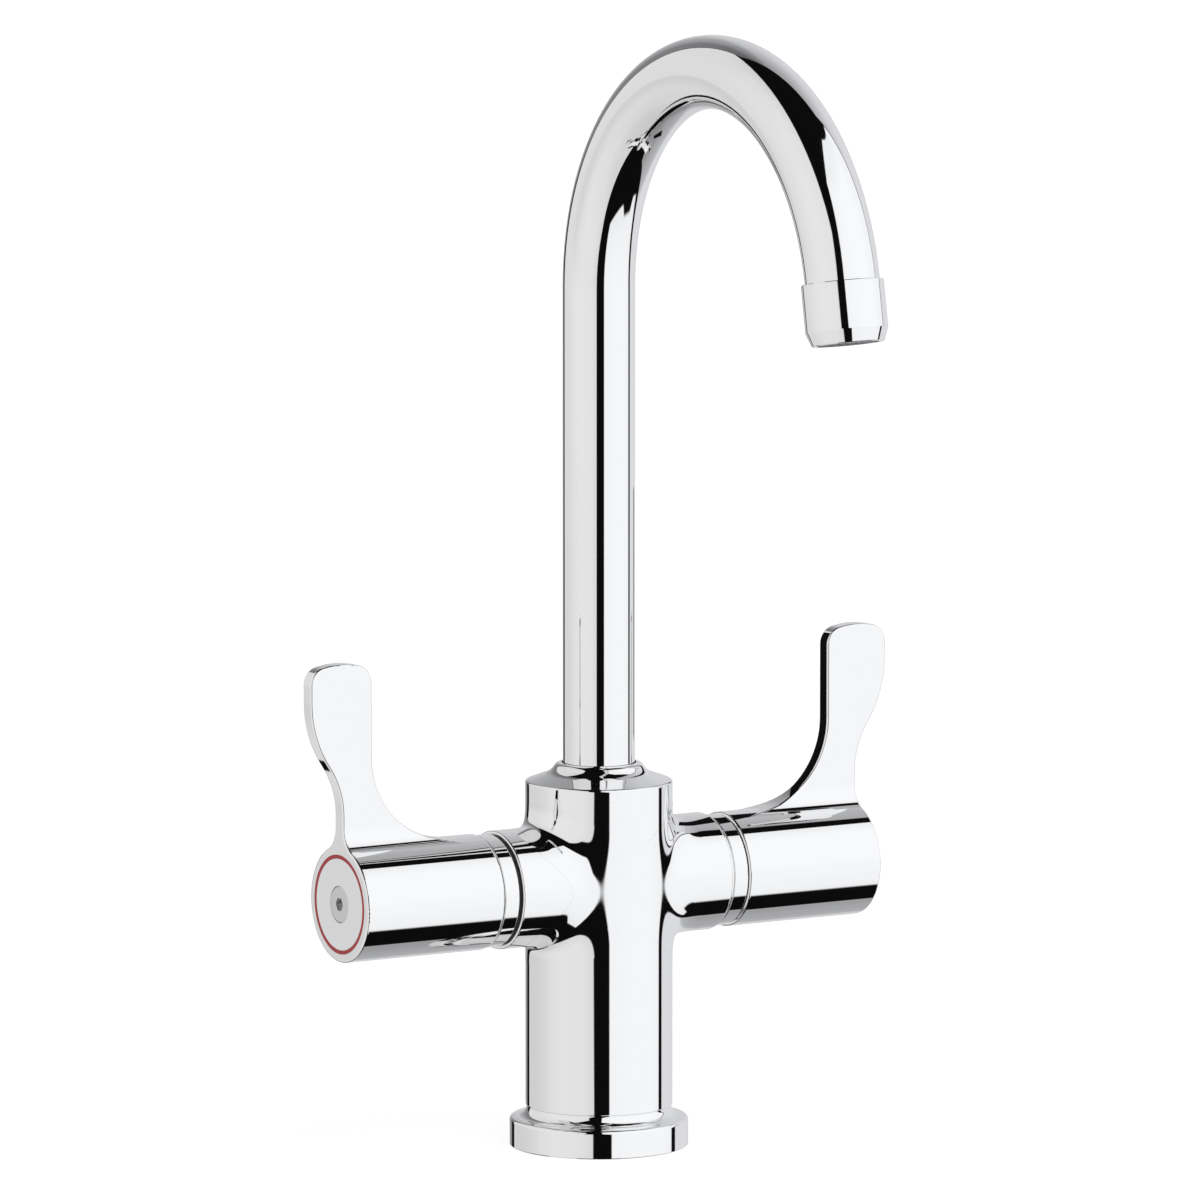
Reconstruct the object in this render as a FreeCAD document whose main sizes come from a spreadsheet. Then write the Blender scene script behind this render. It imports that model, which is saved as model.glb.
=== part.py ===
import FreeCAD, Part
import math
import os
import Sketcher

# Single-hole gooseneck faucet with two wrist-blade handles.
# Origin: centre of the foot on the deck. +Z up, the spout reaches towards -Y, the handles lie along X.
# Millimetres and degrees.

SIZES = {
    # Column, shoulder and lip
    "column_radius": 24.5,
    "column_edge": 0.9,
    "seam_edge": 0.5,
    "lip_rise": 39.9,
    "lip_land": 0.35,
    "lip_round": 2.35,
    "bell_round": 6.0,
    "bell_slope": 60.0,
    "shoulder_slope": 19.8,
    "spigot_step": 3.1,
    # Arms
    "arm_spread": 180.0,
    "arm_axis": 88.8,
    "arm_radius": 19.7,
    "arm_end": 40.5,
    "arm_edge": 0.7,
    "arm_blend": 4.0,
    "side_blend": 12.0,
    # Hollow foot, inlets and mounting stud
    "foot_wall": 3.0,
    "foot_depth": 58.0,
    "inlet_thread": 4.5,
    "inlet_depth": 12.0,
    "inlet_side": 8.6,
    "inlet_back": 4.5,
    "inlet_channel": 3.4,
    "stud_thread": 3.4,
    "stud_depth": 14.0,
    "stud_front": 10.6,
    # Spout bore and mixing chamber
    "mouth_gap": 0.45,
    "chamber_gap": 2.0,
    "port_radius": 2.6,
    "port_side": 6.5,
    "port_rise": 8.8,
    "port_end": 25.0,
    "snap_groove_depth": 1.5,
    "snap_groove_width": 2.2,
    # Bores in the arms, outermost first
    "flange_sink": 2.5,
    "flange_bore": 12.5,
    "thread_length": 8.0,
    "thread_bore": 10.45,
    "annulus_length": 12.0,
    "annulus_radius": 10.0,
    "seat_depth": 11.5,
    "seat_radius": 4.6,
    # Foot ring and gasket
    "ring_reach": 5.3,
    "ring_rim": 8.4,
    "ring_edge": 1.2,
    "ring_crown": 0.25,
    "ring_inset": 0.35,
    "ring_fillet": 3.4,
    "ring_collar": 0.25,
    "ring_chamfer": 0.3,
    "ring_land": 2.0,
    "gasket_width": 4.0,
    "gasket_thickness": 2.0,
    # Running gaps and fits
    "slip_fit": 0.05,
    "running_fit": 0.08,
    "free_gap": 0.3,
    "disc_gap": 0.05,
    # Band between arm and handle
    "band_radius": 18.7,
    "band_width": 5.4,
    "band_edge": 0.35,
    "band_shadow": 1.1,
    "band_step": 1.5,
    "band_wall": 2.8,
    "band_seat": 3.5,
    # Cartridge
    "nose_gap": 1.0,
    "nose_wall": 1.3,
    "end_play": 0.1,
    "hexagon_flats": 19.0,
    "hexagon_height": 6.0,
    "neck_radius": 8.0,
    "neck_length": 3.3,
    "window_width": 11.0,
    "seal_groove_width": 1.9,
    "seal_groove_depth": 1.45,
    # Seals and ceramic discs
    "seat_seal_thickness": 2.5,
    "disc_thickness": 3.0,
    "port_inner": 2.4,
    "port_margin": 1.5,
    "port_half_angle": 36.0,
    "slot_depth": 1.2,
    "slot_width": 3.0,
    # Spindle, its seals, clip and washer
    "tongue_inset": 0.8,
    "tongue_reach": 2.55,
    "shoulder_length": 2.4,
    "spindle_radius": 4.85,
    "washer_thickness": 1.0,
    "groove_depth": 1.45,
    "groove_width": 2.1,
    "groove_land": 3.2,
    "clip_width": 1.1,
    "clip_depth": 0.75,
    "clip_band": 2.5,
    "clip_opening": 6.0,
    "clip_land": 1.7,
    "spline_step": 0.95,
    "spline_depth": 0.45,
    "spline_length": 10.1,
    "spline_teeth": 20,
    "screw_hole": 2.5,
    "screw_grip": 8.0,
    "screw_spare": 2.0,
    # Handle: hub
    "hub_length": 52.0,
    "hub_radius": 19.25,
    "hub_inner_round": 1.0,
    "hub_wall": 2.65,
    "hub_end_wall": 9.3,
    "boss_radius": 7.6,
    "boss_gap": 0.8,
    "rim_width": 2.8,
    "recess_depth": 2.1,
    # Handle: blade
    "blade_thickness": 5.5,
    "blade_width": 23.05,
    "blade_overhang": 11.85,
    "blade_crown": 30.0,
    "blade_corner": 6.0,
    "blade_edge": 0.8,
    "sway_foot": 9.95,
    "sway_rise": 38.0,
    "sway_share": 0.446,
    "tip_height": 12.45,
    "web_radius": 29.0,
    "web_slope": 14.0,
    "web_blend": 9.0,
    "tail_slope": 4.0,
    "tail_margin": 2.3,
    # End inlays and screw
    "ring_band": 1.25,
    "inlay_sink": 0.05,
    "screw_head": 6.05,
    "screw_head_height": 4.0,
    "socket_flats": 4.1,
    "socket_depth": 2.6,
    # Spout
    "tube_radius": 12.0,
    "tube_wall": 1.2,
    "tube_seat": 8.2,
    "bend_height": 287.4,
    "bend_radius": 75.4,
    "outlet_tilt": 10.4,
    "tube_tail": 7.9,
    # Shank in the foot of the spout
    "shank_wall": 2.25,
    "shank_spigot": 12.5,
    "shank_land": 2.34,
    "seal_seat_depth": 2.1,
    "seal_seat_width": 2.9,
    "glide_width": 3.0,
    "glide_thickness": 1.5,
    "glide_opening": 2.0,
    "snap_depth": 1.6,
    "snap_width": 1.5,
    "snap_opening": 4.0,
    # Outlet collar and aerator
    "collar_wall": 1.25,
    "collar_length": 19.8,
    "collar_taper": 4.4,
    "collar_draw": 1.55,
    "collar_ledge": 0.8,
    "collar_lip": 1.3,
    "collar_lip_depth": 1.8,
    "aerator_washer_width": 3.0,
    "aerator_washer_thickness": 1.9,
    "aerator_wall": 1.85,
    "aerator_floor": 1.6,
    "aerator_hole": 0.95,
    "aerator_pitch": 3.1,
    "screen_thickness": 0.5,
    "screen_height": 3.0,
}

LEFT = 1
RIGHT = -1
NEAR = 1e-6


class Size:
    """A number together with the sheet formula that gives it."""

    def __init__(self, value, text):
        self.value = value
        self.text = text

    def __add__(self, other):
        other = sized(other)
        return Size(self.value + other.value, f"({self.text} + {other.text})")

    def __radd__(self, other):
        return sized(other) + self

    def __sub__(self, other):
        other = sized(other)
        return Size(self.value - other.value, f"({self.text} - {other.text})")

    def __rsub__(self, other):
        return sized(other) - self

    def __mul__(self, other):
        other = sized(other)
        return Size(self.value * other.value, f"({self.text} * {other.text})")

    def __rmul__(self, other):
        return sized(other) * self

    def __truediv__(self, other):
        other = sized(other)
        return Size(self.value / other.value, f"({self.text} / {other.text})")

    def __rtruediv__(self, other):
        return sized(other) / self

    def __neg__(self):
        return Size(-self.value, f"(-1 * {self.text})")


def sized(value):
    return value if isinstance(value, Size) else Size(float(value), repr(float(value)))


def sine(angle):
    return Size(math.sin(math.radians(angle.value)), f"sin({angle.text} * 1 deg)")


def cosine(angle):
    return Size(math.cos(math.radians(angle.value)), f"cos({angle.text} * 1 deg)")


def root(size):
    return Size(math.sqrt(size.value), f"sqrt({size.text})")


doc = FreeCAD.newDocument("gooseneck_faucet")
sheet = doc.addObject("Spreadsheet::Sheet", "sizes")
for row, (alias, value) in enumerate(SIZES.items(), start=1):
    sheet.set(f"A{row}", alias)
    sheet.set(f"B{row}", str(value))
    sheet.setAlias(f"B{row}", alias)
doc.recompute()


PLACES = {}


def cell(alias):
    """A size in the sheet, or a place or size that is worked out from others."""
    if alias in PLACES:
        return PLACES[alias]
    return Size(float(sheet.get(alias)), f"sizes.{alias}")


def work_out_column():
    """Heights above the deck and radii about the column's axis."""
    rim = cell("ring_rim") + cell("ring_edge") + cell("ring_crown")
    PLACES["seam_height"] = rim + cell("ring_fillet") + cell("ring_collar")
    PLACES["lip_height"] = cell("arm_axis") + cell("lip_rise")
    PLACES["spigot_radius"] = cell("column_radius") - cell("spigot_step")
    PLACES["foot_bore"] = cell("spigot_radius") - cell("foot_wall")
    PLACES["ring_radius"] = cell("column_radius") + cell("ring_reach")
    PLACES["ring_neck"] = cell("column_radius") - cell("ring_inset")
    PLACES["gasket_inner"] = cell("spigot_radius") + cell("ring_land")
    PLACES["gasket_outer"] = cell("gasket_inner") + cell("gasket_width")
    PLACES["spout_bore"] = cell("tube_radius") + cell("mouth_gap")
    PLACES["lip_crest"] = cell("spout_bore") + cell("lip_land")


def work_out_shank():
    """Stations of the grooves in the spout's shank, upwards from its foot, a land between each two."""
    land = cell("shank_land")
    seal = cell("seal_seat_width")
    grooves = 2 * seal + cell("snap_width") + cell("glide_width")
    PLACES["tube_foot"] = cell("lip_height") - cell("tube_seat")
    PLACES["shank_foot"] = cell("tube_foot") - grooves - 5 * land
    PLACES["chamber_floor"] = cell("shank_foot") - cell("chamber_gap")
    PLACES["lower_seal"] = cell("shank_foot") + land
    PLACES["upper_seal"] = cell("lower_seal") + seal + land
    PLACES["snap_seat"] = cell("upper_seal") + seal + land
    PLACES["glide_seat"] = cell("snap_seat") + cell("snap_width") + land
    play = cell("snap_groove_width") - cell("snap_width")
    PLACES["snap_groove_height"] = cell("snap_seat") - play / 2
    PLACES["shank_radius"] = cell("spout_bore") - cell("running_fit")
    PLACES["spigot_in_tube"] = cell("tube_radius") - cell("tube_wall") - cell("slip_fit")
    PLACES["shank_bore"] = cell("spigot_in_tube") - cell("shank_wall")


def work_out_arm():
    """Stations along an arm, from the column's axis, and the radii of what is inside it."""
    gap = cell("free_gap")
    PLACES["flange_seat"] = cell("arm_end") - cell("flange_sink")
    PLACES["thread_start"] = cell("flange_seat") - cell("thread_length")
    PLACES["seat_face"] = cell("thread_start") - cell("annulus_length")
    PLACES["seat_start"] = cell("seat_face") - cell("seat_depth")
    PLACES["band_start"] = cell("arm_end") + cell("band_shadow")
    PLACES["band_web"] = cell("arm_end") + cell("band_seat")
    PLACES["band_end"] = cell("band_start") + cell("band_width")
    PLACES["nose_start"] = cell("seat_face") + gap
    PLACES["seat_seal_end"] = cell("seat_face") + cell("seat_seal_thickness")
    PLACES["fixed_disc_end"] = cell("seat_seal_end") + cell("disc_thickness")
    PLACES["turning_disc_start"] = cell("fixed_disc_end") + cell("disc_gap")
    PLACES["turning_disc_end"] = cell("turning_disc_start") + cell("disc_thickness")
    PLACES["shoulder_start"] = cell("turning_disc_end") + cell("tongue_reach")
    PLACES["shoulder_end"] = cell("shoulder_start") + cell("shoulder_length")
    PLACES["washer_end"] = cell("shoulder_end") + cell("washer_thickness")
    PLACES["cavity_end"] = cell("washer_end") + cell("end_play")
    PLACES["first_groove"] = cell("cavity_end") + cell("groove_land")
    PLACES["second_groove"] = cell("first_groove") + cell("groove_width") + cell("groove_land")
    PLACES["hexagon_end"] = cell("band_web") + cell("hexagon_height")
    PLACES["neck_end"] = cell("hexagon_end") + cell("neck_length")
    PLACES["clip_start"] = cell("neck_end") + gap
    PLACES["clip_end"] = cell("clip_start") + cell("clip_width")
    PLACES["shank_end"] = cell("clip_end") + cell("clip_land")
    PLACES["spline_end"] = cell("shank_end") + cell("spline_length")
    PLACES["nose_radius"] = cell("annulus_radius") - cell("nose_gap")
    PLACES["cavity_radius"] = cell("nose_radius") - cell("nose_wall")
    PLACES["disc_radius"] = cell("cavity_radius") - gap
    PLACES["port_outer"] = cell("disc_radius") - cell("port_margin")
    PLACES["spindle_bore"] = cell("spindle_radius") + cell("running_fit")
    PLACES["groove_floor"] = cell("spindle_radius") - cell("groove_depth")
    PLACES["clip_seat"] = cell("spindle_radius") - cell("clip_depth")
    PLACES["spline_tip"] = cell("spindle_radius") - cell("spline_step")
    PLACES["spline_root"] = cell("spline_tip") - cell("spline_depth")
    PLACES["seal_groove_floor"] = (
        cell("thread_bore") - cell("slip_fit") - cell("seal_groove_depth")
    )


def work_out_handle():
    """Stations along a handle, heights above the arms' axis, and the hub's inner radii."""
    PLACES["hub_start"] = cell("band_end") + cell("free_gap")
    PLACES["hub_end"] = cell("hub_start") + cell("hub_length")
    PLACES["hub_bore_end"] = cell("hub_end") - cell("hub_end_wall")
    PLACES["hub_bore"] = cell("hub_radius") - cell("hub_wall")
    PLACES["boss_start"] = cell("shank_end") + cell("boss_gap")
    PLACES["broach_end"] = cell("spline_end") + cell("boss_gap")
    PLACES["recess_floor"] = cell("hub_end") - cell("recess_depth")
    PLACES["recess_radius"] = cell("hub_radius") - cell("rim_width")
    PLACES["inlay_face"] = cell("hub_end") - cell("inlay_sink")
    PLACES["screw_seat"] = cell("hub_end") - cell("screw_head_height")
    PLACES["screw_start"] = cell("spline_end") - cell("screw_grip")
    PLACES["blade_outer"] = cell("hub_end") + cell("blade_overhang")
    PLACES["blade_inner"] = cell("blade_outer") - cell("blade_width")
    PLACES["sway_start"] = cell("hub_radius") + cell("sway_foot")
    PLACES["sway_end"] = cell("sway_start") + cell("sway_rise")
    PLACES["blade_top"] = cell("sway_end") + cell("tip_height")
    PLACES["tail_start"] = (
        cell("hub_start") + cell("hub_inner_round") + cell("tail_margin")
    )


def work_out_collar():
    """Stations along the flow from the end of the bend, and radii about it."""
    PLACES["bend_angle"] = 180 - cell("outlet_tilt")
    PLACES["collar_step"] = cell("tube_tail") + 2 * cell("slip_fit")
    PLACES["collar_radius"] = cell("tube_radius") + cell("collar_wall")
    PLACES["collar_bore"] = cell("tube_radius") - cell("collar_ledge")
    PLACES["collar_lip_start"] = cell("collar_length") - cell("collar_lip_depth")
    PLACES["aerator_radius"] = cell("collar_bore") - cell("slip_fit")
    PLACES["aerator_bore"] = cell("aerator_radius") - cell("aerator_wall")
    PLACES["aerator_start"] = cell("collar_step") + cell("aerator_washer_thickness")


work_out_column()
work_out_shank()
work_out_arm()
work_out_handle()
work_out_collar()

SIDES = {"hot": cell("arm_spread"), "cold": sized(0)}


def bind(thing, path, size):
    """Ties one property of an object to the sheet."""
    thing.setExpression(path, sized(size).text)


def new_body(name):
    body = doc.addObject("PartDesign::Body", name)
    body.Label = name
    return body


def origin_plane(body, role):
    return next(f for f in body.Origin.OriginFeatures if f.Role == role)


class Outline:
    """Closed outlines in a sketch: every corner and radius is tied to the sheet of sizes."""

    def __init__(self, body, name, plane, offset=0, lift=0):
        """Lies on an origin plane, moved along its normal by offset and up in it by lift."""
        self.sketch = body.newObject("Sketcher::SketchObject", name)
        self.sketch.AttachmentSupport = [(origin_plane(body, plane), "")]
        self.sketch.MapMode = "FlatFace"
        offset, lift = sized(offset), sized(lift)
        self.sketch.AttachmentOffset = FreeCAD.Placement(
            FreeCAD.Vector(0, lift.value, offset.value), FreeCAD.Rotation()
        )
        bind(self.sketch, "AttachmentOffset.Base.y", lift)
        bind(self.sketch, "AttachmentOffset.Base.z", offset)
        self.corners = []
        self.steps = []

    def start(self, x, y):
        self.corners = [(sized(x), sized(y))]
        self.steps = []
        return self

    def line(self, x, y):
        self.corners.append((sized(x), sized(y)))
        self.steps.append(None)
        return self

    def arc(self, x, y, radius, way):
        self.corners.append((sized(x), sized(y)))
        self.steps.append((sized(radius), way))
        return self

    def hold(self, index, position, name, size):
        """Fixes one coordinate of a point, measured from the origin of the sketch."""
        if abs(size.value) < NEAR:
            axis = -2 if name == "DistanceX" else -1
            rule = Sketcher.Constraint("PointOnObject", index, position, axis)
            self.sketch.addConstraint(rule)
            return
        ends = (-1, 1, index, position)
        if size.value < 0:
            size = -size
            ends = (index, position, -1, 1)
        number = self.sketch.addConstraint(Sketcher.Constraint(name, *ends, size.value))
        bind(self.sketch, f"Constraints[{number}]", size)

    def close(self):
        """Joins the last corner to the first and writes the outline into the sketch."""
        first_x, first_y = self.corners[0]
        last_x, last_y = self.corners[-1]
        apart = math.hypot(first_x.value - last_x.value, first_y.value - last_y.value)
        if apart > NEAR:
            self.line(first_x, first_y)
        pieces = self.draw()
        self.join(pieces[-1], pieces[0])
        return self

    def draw(self):
        """Writes the steps into the sketch, end to end, and holds every corner."""
        pieces = []
        for step, here, there in zip(self.steps, self.corners, self.corners[1:]):
            here_point = FreeCAD.Vector(here[0].value, here[1].value, 0)
            there_point = FreeCAD.Vector(there[0].value, there[1].value, 0)
            if step is None:
                line = Part.LineSegment(here_point, there_point)
                pieces.append((self.sketch.addGeometry(line, False), 1, 2))
                continue
            radius, way = step
            arc = arc_between(here_point, there_point, radius.value, way)
            index = self.sketch.addGeometry(arc, False)
            pieces.append((index, 1, 2) if way == LEFT else (index, 2, 1))
            self.hold_radius(index, radius)
        for piece, following in zip(pieces, pieces[1:]):
            self.join(piece, following)
        for (index, begin, _), (x, y) in zip(pieces, self.corners):
            self.hold(index, begin, "DistanceX", x)
            self.hold(index, begin, "DistanceY", y)
        return pieces

    def join(self, piece, following):
        ends = (piece[0], piece[2], following[0], following[1])
        self.sketch.addConstraint(Sketcher.Constraint("Coincident", *ends))

    def hold_radius(self, index, radius):
        number = self.sketch.addConstraint(Sketcher.Constraint("Radius", index, radius.value))
        bind(self.sketch, f"Constraints[{number}]", radius)

    def leave_open(self):
        """Writes the outline as a path that doesn't return to its start."""
        index, _, end = self.draw()[-1]
        x, y = self.corners[-1]
        self.hold(index, end, "DistanceX", x)
        self.hold(index, end, "DistanceY", y)
        return self

    def circle(self, x, y, radius):
        x, y, radius = sized(x), sized(y), sized(radius)
        centre = FreeCAD.Vector(x.value, y.value, 0)
        ring = Part.Circle(centre, FreeCAD.Vector(0, 0, 1), radius.value)
        index = self.sketch.addGeometry(ring, False)
        self.hold_radius(index, radius)
        self.hold(index, 3, "DistanceX", x)
        self.hold(index, 3, "DistanceY", y)
        return self

    def box(self, x0, y0, x1, y1):
        return self.start(x0, y0).line(x1, y0).line(x1, y1).line(x0, y1).close()


def arc_between(here, there, radius, way):
    """The shorter arc of a radius that leaves one point and turns left or right to the other."""
    chord = there - here
    half = chord.Length / 2
    across = FreeCAD.Vector(-chord.y, chord.x, 0).normalize()
    reach = math.sqrt(max(radius**2 - half**2, 0))
    centre = (here + there) / 2 + across * (way * reach)
    begin, end = (here, there) if way == LEFT else (there, here)
    start_angle = math.atan2(begin.y - centre.y, begin.x - centre.x)
    end_angle = math.atan2(end.y - centre.y, end.x - centre.x)
    if end_angle < start_angle:
        end_angle += 2 * math.pi
    ring = Part.Circle(centre, FreeCAD.Vector(0, 0, 1), radius)
    return Part.ArcOfCircle(ring, start_angle, end_angle)


def feature(body, kind, name, outline):
    made = body.newObject(f"PartDesign::{kind}", name)
    made.Profile = outline.sketch
    return made


def checked_cut(body, made, before):
    """A cut that points away from the solid removes nothing and shows no error."""
    doc.recompute()
    if body.Shape.Volume >= before - NEAR:
        raise RuntimeError(f"{made.Name} cuts nothing")
    return made


def turn(body, name, outline, axis="V_Axis", cut=False):
    """Revolves an outline about the sketch's upright or level axis."""
    before = body.Shape.Volume if cut else 0
    made = feature(body, "Groove" if cut else "Revolution", name, outline)
    made.ReferenceAxis = (outline.sketch, [axis])
    made.Angle = 360.0
    doc.recompute()
    return checked_cut(body, made, before) if cut else made


def extrude(body, name, outline, length, both_ways=False, reverse=False):
    made = feature(body, "Pad", name, outline)
    bind(made, "Length", length)
    made.Reversed = reverse
    if both_ways:
        made.SideType = "Symmetric"
    doc.recompute()
    return made


def carve(body, name, outline, length, both_ways=False, reverse=False):
    before = body.Shape.Volume
    made = feature(body, "Pocket", name, outline)
    bind(made, "Length", length)
    made.Reversed = reverse
    if both_ways:
        made.SideType = "Symmetric"
    return checked_cut(body, made, before)


def round_edges(body, name, radius, chosen):
    """Rounds the edges of the body's tip for which chosen(edge) is true."""
    tip = body.Tip
    names = [f"Edge{n}" for n, edge in enumerate(tip.Shape.Edges, start=1) if chosen(edge)]
    made = body.newObject("PartDesign::Fillet", name)
    made.Base = (tip, names)
    bind(made, "Radius", radius)
    doc.recompute()
    return made


def on_both_arms(body, name, originals):
    """Repeats what is drawn on the cold arm about the column's axis, on the hot arm."""
    made = body.newObject("PartDesign::PolarPattern", name)
    made.Originals = originals
    made.Axis = (origin_plane(body, "Z_Axis"), [""])
    made.Occurrences = len(SIDES)
    bind(made, "Angle", cell("arm_spread"))
    body.Tip = made
    doc.recompute()
    return made


def mirror(body, name, originals):
    made = body.newObject("PartDesign::Mirrored", name)
    made.Originals = originals
    made.MirrorPlane = (origin_plane(body, "YZ_Plane"), [""])
    body.Tip = made
    doc.recompute()
    return made


def around(body, name, originals, count, axis="X_Axis"):
    made = body.newObject("PartDesign::PolarPattern", name)
    made.Originals = originals
    made.Axis = (origin_plane(body, axis), [""])
    made.Angle = 360.0
    bind(made, "Occurrences", count)
    body.Tip = made
    doc.recompute()
    return made


def on_arm(thing, side):
    """Puts a piece that is drawn about the X axis on the hot or the cold arm."""
    thing.Placement = FreeCAD.Placement(
        FreeCAD.Vector(0, 0, cell("arm_axis").value),
        FreeCAD.Rotation(FreeCAD.Vector(0, 0, 1), SIDES[side].value),
    )
    bind(thing, "Placement.Base.z", cell("arm_axis"))
    bind(thing, "Placement.Rotation.Angle", SIDES[side])
    return thing


def at_outlet(thing):
    """Puts a piece that is drawn about the Z axis at the end of the bend, along the flow."""
    radius = cell("bend_radius")
    angle = cell("bend_angle")
    y = radius * cosine(angle) - radius
    z = cell("bend_height") + radius * sine(angle)
    thing.Placement = FreeCAD.Placement(
        FreeCAD.Vector(0, y.value, z.value),
        FreeCAD.Rotation(FreeCAD.Vector(1, 0, 0), angle.value),
    )
    bind(thing, "Placement.Base.y", y)
    bind(thing, "Placement.Base.z", z)
    bind(thing, "Placement.Rotation.Angle", angle)
    return thing


def tube_section(body, name, inner, outer, low, high, axis="V_Axis"):
    """A plain turned ring between two radii and two stations on its axis."""
    outline = Outline(body, f"{name}_outline", "XZ_Plane")
    if axis == "V_Axis":
        outline.box(inner, low, outer, high)
    else:
        outline.box(low, inner, high, outer)
    return turn(body, name, outline, axis)


def o_rings(name, centre, section, stations, axis="V_Axis"):
    """Round rubber rings about the Z axis, or about the X axis when axis is H_Axis."""
    body = new_body(name)
    for number, station in enumerate(stations, start=1):
        outline = Outline(body, f"section_{number}", "XZ_Plane")
        if axis == "V_Axis":
            outline.circle(centre, station, section)
        else:
            outline.circle(station, centre, section)
        turn(body, f"ring_{number}", outline, axis)
    return body


def hexagon(outline, flats):
    """A regular hexagon, flat sides up and down, given the distance across its flats."""
    reach = flats / root(sized(3))
    half = flats / 2
    outline.start(reach, 0)
    outline.line(reach / 2, half)
    outline.line(-reach / 2, half)
    outline.line(-reach, 0)
    outline.line(-reach / 2, -half)
    outline.line(reach / 2, -half)
    return outline.close()


def port_sector(outline, middle):
    """One kidney port of a ceramic disc: a ring sector about the given angle."""
    inner = cell("port_inner")
    outer = cell("port_outer")
    first = middle - cell("port_half_angle")
    last = middle + cell("port_half_angle")
    outline.start(inner * cosine(first), inner * sine(first))
    outline.line(outer * cosine(first), outer * sine(first))
    outline.arc(outer * cosine(last), outer * sine(last), outer, LEFT)
    outline.line(inner * cosine(last), inner * sine(last))
    outline.arc(inner * cosine(first), inner * sine(first), inner, RIGHT)
    return outline.close()


# Fixed parts


def column_outline(body):
    """Half section of the column: spigot, straight wall, cone, bell and rounded lip."""
    column = cell("column_radius")
    edge = cell("column_edge")
    seam = cell("seam_height")
    seam_edge = cell("seam_edge")
    spigot = cell("spigot_radius")
    top = cell("lip_height")
    crest = cell("lip_crest")
    lip = cell("lip_round")
    bell = cell("bell_round")
    steep = cell("bell_slope")
    shallow = cell("shoulder_slope")
    bell_top_r = crest + lip * sine(steep)
    bell_top_z = top - lip * (1 - cosine(steep))
    bell_foot_r = bell_top_r + bell * (sine(steep) - sine(shallow))
    bell_foot_z = bell_top_z - bell * (cosine(shallow) - cosine(steep))
    cone_r = column - edge * (1 - sine(shallow))
    cone_z = bell_foot_z - (cone_r - bell_foot_r) * sine(shallow) / cosine(shallow)
    outline = Outline(body, "column_outline", "XZ_Plane")
    outline.start(0, 0).line(spigot, 0).line(spigot, seam)
    outline.line(column - seam_edge, seam)
    outline.arc(column, seam + seam_edge, seam_edge, LEFT)
    outline.line(column, cone_z - edge * cosine(shallow))
    outline.arc(cone_r, cone_z, edge, LEFT)
    outline.line(bell_foot_r, bell_foot_z)
    outline.arc(bell_top_r, bell_top_z, bell, RIGHT)
    outline.arc(crest, top, lip, LEFT)
    outline.line(0, top)
    return outline.close()


def arm_bore_outline(body):
    """Seat, annulus, thread and flange recess that take one cartridge."""
    seat_face = cell("seat_face")
    thread_start = cell("thread_start")
    flange_seat = cell("flange_seat")
    mouth = cell("arm_end") + cell("free_gap")
    outline = Outline(body, "arm_bore_outline", "XZ_Plane", lift=cell("arm_axis"))
    outline.start(cell("seat_start"), 0).line(cell("seat_start"), cell("seat_radius"))
    outline.line(seat_face, cell("seat_radius")).line(seat_face, cell("annulus_radius"))
    outline.line(thread_start, cell("annulus_radius"))
    outline.line(thread_start, cell("thread_bore"))
    outline.line(flange_seat, cell("thread_bore")).line(flange_seat, cell("flange_bore"))
    outline.line(mouth, cell("flange_bore")).line(mouth, 0)
    return outline.close()


def blended_column():
    """Column and arms in one, joined by blends that widen towards the front and the back."""
    body = new_body("column_and_arms")
    turn(body, "column", column_outline(body))
    radius = cell("arm_radius")
    arm = Outline(body, "arm_outline", "YZ_Plane", lift=cell("arm_axis"))
    arm.start(radius, 0).arc(0, radius, radius, LEFT).arc(-radius, 0, radius, LEFT)
    arm.arc(0, -radius, radius, LEFT).arc(radius, 0, radius, LEFT).close()
    quarters = extrude(body, "arm", arm, cell("arm_end"))
    arms = on_both_arms(body, "arms", [quarters])
    for made in (quarters, arms):
        made.Refine = False
    doc.recompute()
    blends = doc.addObject("Part::Fillet", "arm_blends")
    blends.Base = body
    blends.Edges = blend_rows(body.Shape)
    doc.recompute()
    return blends


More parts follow.
